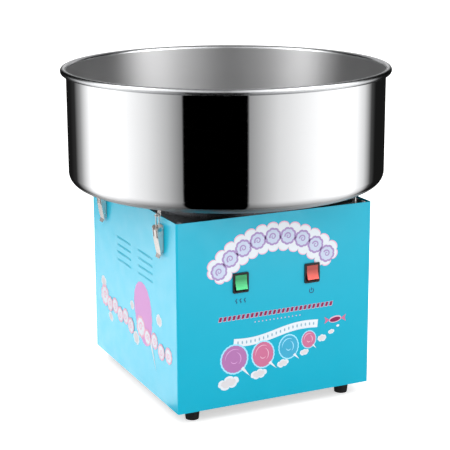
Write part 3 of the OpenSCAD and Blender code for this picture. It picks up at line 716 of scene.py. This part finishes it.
def latch_wire(corner):
    """One bent wire, its feet hooked through the lever's cheeks."""
    out = -1 if "left" in corner else 1
    along = -LATCH_ALONG if "front" in corner else LATCH_ALONG
    stand_off, wire_r, sides = 5.5, 1.0, 20
    line = wire_path()
    verts, faces = [], []
    for i, (y, z) in enumerate(line):
        y0, z0 = line[max(i - 1, 0)]
        y1, z1 = line[min(i + 1, len(line) - 1)]
        size = math.hypot(y1 - y0, z1 - z0)
        ny, nz = -(z1 - z0) / size, (y1 - y0) / size
        for k in range(sides):
            a = 2 * math.pi * k / sides
            c, s = wire_r * math.cos(a), wire_r * math.sin(a)
            verts.append((out * (HALF_WIDTH + stand_off + s) * MM, (along + y + ny * c) * MM, (z + nz * c) * MM))
    for i in range(len(line) - 1):
        for k in range(sides):
            j = (k + 1) % sides
            faces.append((i * sides + k, i * sides + j, (i + 1) * sides + j, (i + 1) * sides + k))
    faces.append(tuple(range(sides)))
    faces.append(tuple(range(len(line) * sides - 1, (len(line) - 1) * sides - 1, -1)))
    o = add_mesh("latch_wire_" + corner, verts, faces, [M["chrome"]], "loop_" + corner,
                 stands_for=("latch_loop_" + corner,), slot="latch_chrome")
    face_out(o)
    return o


WIRES = {corner: latch_wire(corner) for corner in CORNERS}

# ---------------------------------------------------------------- studio

# Brightness round the studio, by degrees from the camera's side; negative is to its left.
# The bowl's outside mirrors the low ring and the floor, its inside the high ring.
LOW_RING = [(-180, 0.01), (-138, 0.01), (-126, 0.03), (-116, 0.34), (-101, 1.25), (-94, 1.4), (-76, 1.4), (-65, 1.1),
            (-51, 0.86), (-37, 0.53), (-27.5, 0.24), (-26.4, 0.0), (13.3, 0.0), (14.5, 0.33), (33, 0.78), (50, 1.0),
            (75, 1.3), (92, 1.3), (100, 0.95), (105, 0.75), (110, 0.4), (115, 0.07), (122, 0.01), (180, 0.01)]
HIGH_RING = [(-180, 0.4), (-165, 0.75), (-148, 0.0), (-114, 0.0), (-99, 0.5), (-73, 4.5), (-42, 1.45), (0, 0.51),
             (42, 2.4), (72, 5.0), (98, 0.4), (112, 0.0), (148, 0.0), (165, 0.75), (180, 0.4)]
# Share of the low ring's level that the floor has, by distance: dark under the machine.
FLOOR_SHARE = [(0, 0.02), (0.26, 0.06), (0.36, 0.3), (0.5, 0.6), (0.8, 0.9), (1.3, 1.0)]
RING_R, RING_STEP, RING_TOP = 1.2, 0.6, 2.4
FLOOR_HALF = 12
# Towards the left and the back, along the floor.
LEFT_BACK = Vector((-0.424, 0.906, 0)).normalized()


def curve(stops, x):
    """Straight lines between (x, y) stops."""
    for (x0, y0), (x1, y1) in zip(stops, stops[1:]):
        if x0 <= x <= x1:
            return y0 + (y1 - y0) * (x - x0) / (x1 - x0)
    return stops[-1][1]


def low_level(d):
    return curve(LOW_RING, d)


def high_level(d):
    return curve(HIGH_RING, d)


def glow_material():
    """Emission whose strength is the mesh's own 'level'."""
    m, tree, glow = shader("studio_glow", "ShaderNodeEmission")
    level = tree.nodes.new("ShaderNodeAttribute")
    level.attribute_name = "level"
    tree.links.new(level.outputs["Fac"], glow.inputs["Strength"])
    return m


def gloss_sheet(name, rows, material, steps=360):
    """Rings of points (radius, height, level by degrees) joined into a sheet that only gloss sees."""
    start = math.atan2(camera.location.y, camera.location.x)
    verts, values, faces = [], [], []
    for r, z, level in rows:
        for i in range(steps):
            d = -180 + 360 * i / steps
            a = start + math.radians(d)
            verts.append((r * math.cos(a), r * math.sin(a), z))
            values.append(level(d))
    for k in range(len(rows) - 1):
        for i in range(steps):
            j = (i + 1) % steps
            faces.append((k * steps + i, (k + 1) * steps + i, (k + 1) * steps + j, k * steps + j))
    me = bpy.data.meshes.new(name)
    me.from_pydata(verts, [], faces)
    me.attributes.new("level", "FLOAT", "POINT").data.foreach_set("value", values)
    me.materials.append(material)
    o = bpy.data.objects.new(name, me)
    SCENE.collection.objects.link(o)
    o.visible_camera = False
    o.visible_diffuse = False
    o.visible_shadow = False
    o.visible_transmission = False


def sheen(name, near, along, length, width, level, mirrors):
    """A soft lamp on the floor that only the given objects mirror, as a glare."""
    light = bpy.data.lights.new(name, "AREA")
    light.shape = "RECTANGLE"
    light.size, light.size_y = width, length
    light.energy = level * math.pi * width * length
    lamp = bpy.data.objects.new(name, light)
    across = Vector((0, 0, 1)).cross(along)
    middle = near + along * length / 2
    facing = Matrix((across, along, Vector((0, 0, -1)))).transposed().to_4x4()
    lamp.matrix_world = Matrix.Translation(middle) @ facing
    lamp.visible_camera = False
    lamp.visible_diffuse = False
    only = bpy.data.collections.new(name + "_receivers")
    for o in mirrors:
        only.objects.link(o)
    lamp.light_linking.receiver_collection = only
    SCENE.collection.objects.link(lamp)


def floor():
    m, tree, bsdf = new_material("floor_pale")
    tone = mix(tree, noise(tree, coords(tree), 3, 2), (0.90, 0.90, 0.90), (0.93, 0.93, 0.93))
    tree.links.new(tone, bsdf.inputs["Base Color"])
    set_inputs(bsdf, {"Roughness": 0.9, "Specular IOR Level": 0.1, "Emission Color": (1, 1, 1, 1),
                      "Emission Strength": 0.55})
    me = bpy.data.meshes.new("floor")
    s = FLOOR_HALF
    me.from_pydata([(-s, -s, 0), (s, -s, 0), (s, s, 0), (-s, s, 0)], [], [(0, 1, 2, 3)])
    me.materials.append(m)
    o = bpy.data.objects.new("floor", me)
    SCENE.collection.objects.link(o)
    o.visible_glossy = False


def reflections():
    """What gloss sees in place of the floor and the world: two rings, a ceiling and a floor."""
    glow = glow_material()
    near_floor = 0.0005
    gloss_sheet("studio_low", [(RING_R, near_floor, low_level), (RING_R, RING_STEP, low_level)], glow, 720)
    gloss_sheet("studio_high", [(RING_R, RING_STEP, high_level), (RING_R, RING_TOP, high_level)], glow)
    gloss_sheet("studio_ceiling", [(0.001, RING_TOP, lambda d: 0.27),
                                   (RING_R / 2, RING_TOP, lambda d: 0.08 + 0.14 * high_level(d)),
                                   (RING_R, RING_TOP, lambda d: 0.02 + 0.2 * high_level(d))], glow)
    radii = [0.001, 0.16, 0.24, 0.35, 0.45, 0.6, 0.8, 1.0, RING_R]
    gloss_sheet("studio_floor", [(r, near_floor, lambda d, r=r: curve(FLOOR_SHARE, r) * low_level(d))
                                 for r in radii], glow)


def lamps():
    left_latches = [NODES[k + c] for k in ("latch_lever_", "bowl_catch_") for c in ("front_left", "rear_left")]
    left_latches += [WIRES["front_left"], WIRES["rear_left"]]
    beside = Vector((-0.20, -0.10, 0.002))
    sheen("left_sheen", beside, LEFT_BACK, 2.4, 0.60, 3.9, PAINTED)
    sheen("far_sheen", Vector((-0.66, 0.89, 0.004)), LEFT_BACK, 1.6, 0.60, 4.2, PAINTED)
    sheen("latch_sheen", beside, LEFT_BACK, 2.4, 0.60, 0.65, left_latches)
    sheen("front_sheen", Vector((0.25, -1.12, 0.002)), -LEFT_BACK, 1.8, 0.8, 12.0, PAINTED)
    aim = Vector((0, 0, 0.3))
    for name, at, size, power in (("key", (-1.6, -1.6, 2.2), 1.4, 12), ("fill", (1.8, -1.2, 1.8), 1.4, 5),
                                  ("left", (-2.0, 0.3, 0.9), 1.2, 3), ("top", (0, 0.4, 2.6), 1.6, 14)):
        light = bpy.data.lights.new(name, "AREA")
        light.size = size
        light.energy = power
        o = bpy.data.objects.new(name, light)
        o.location = at
        o.rotation_euler = (aim - Vector(at)).to_track_quat("-Z", "Y").to_euler()
        o.visible_glossy = False
        SCENE.collection.objects.link(o)


def white_world():
    world = bpy.data.worlds.new("world")
    SCENE.world = world
    world.use_nodes = True
    set_inputs(world.node_tree.nodes["Background"], {"Color": (1, 1, 1, 1), "Strength": 1.0})


floor()
reflections()
lamps()
white_world()
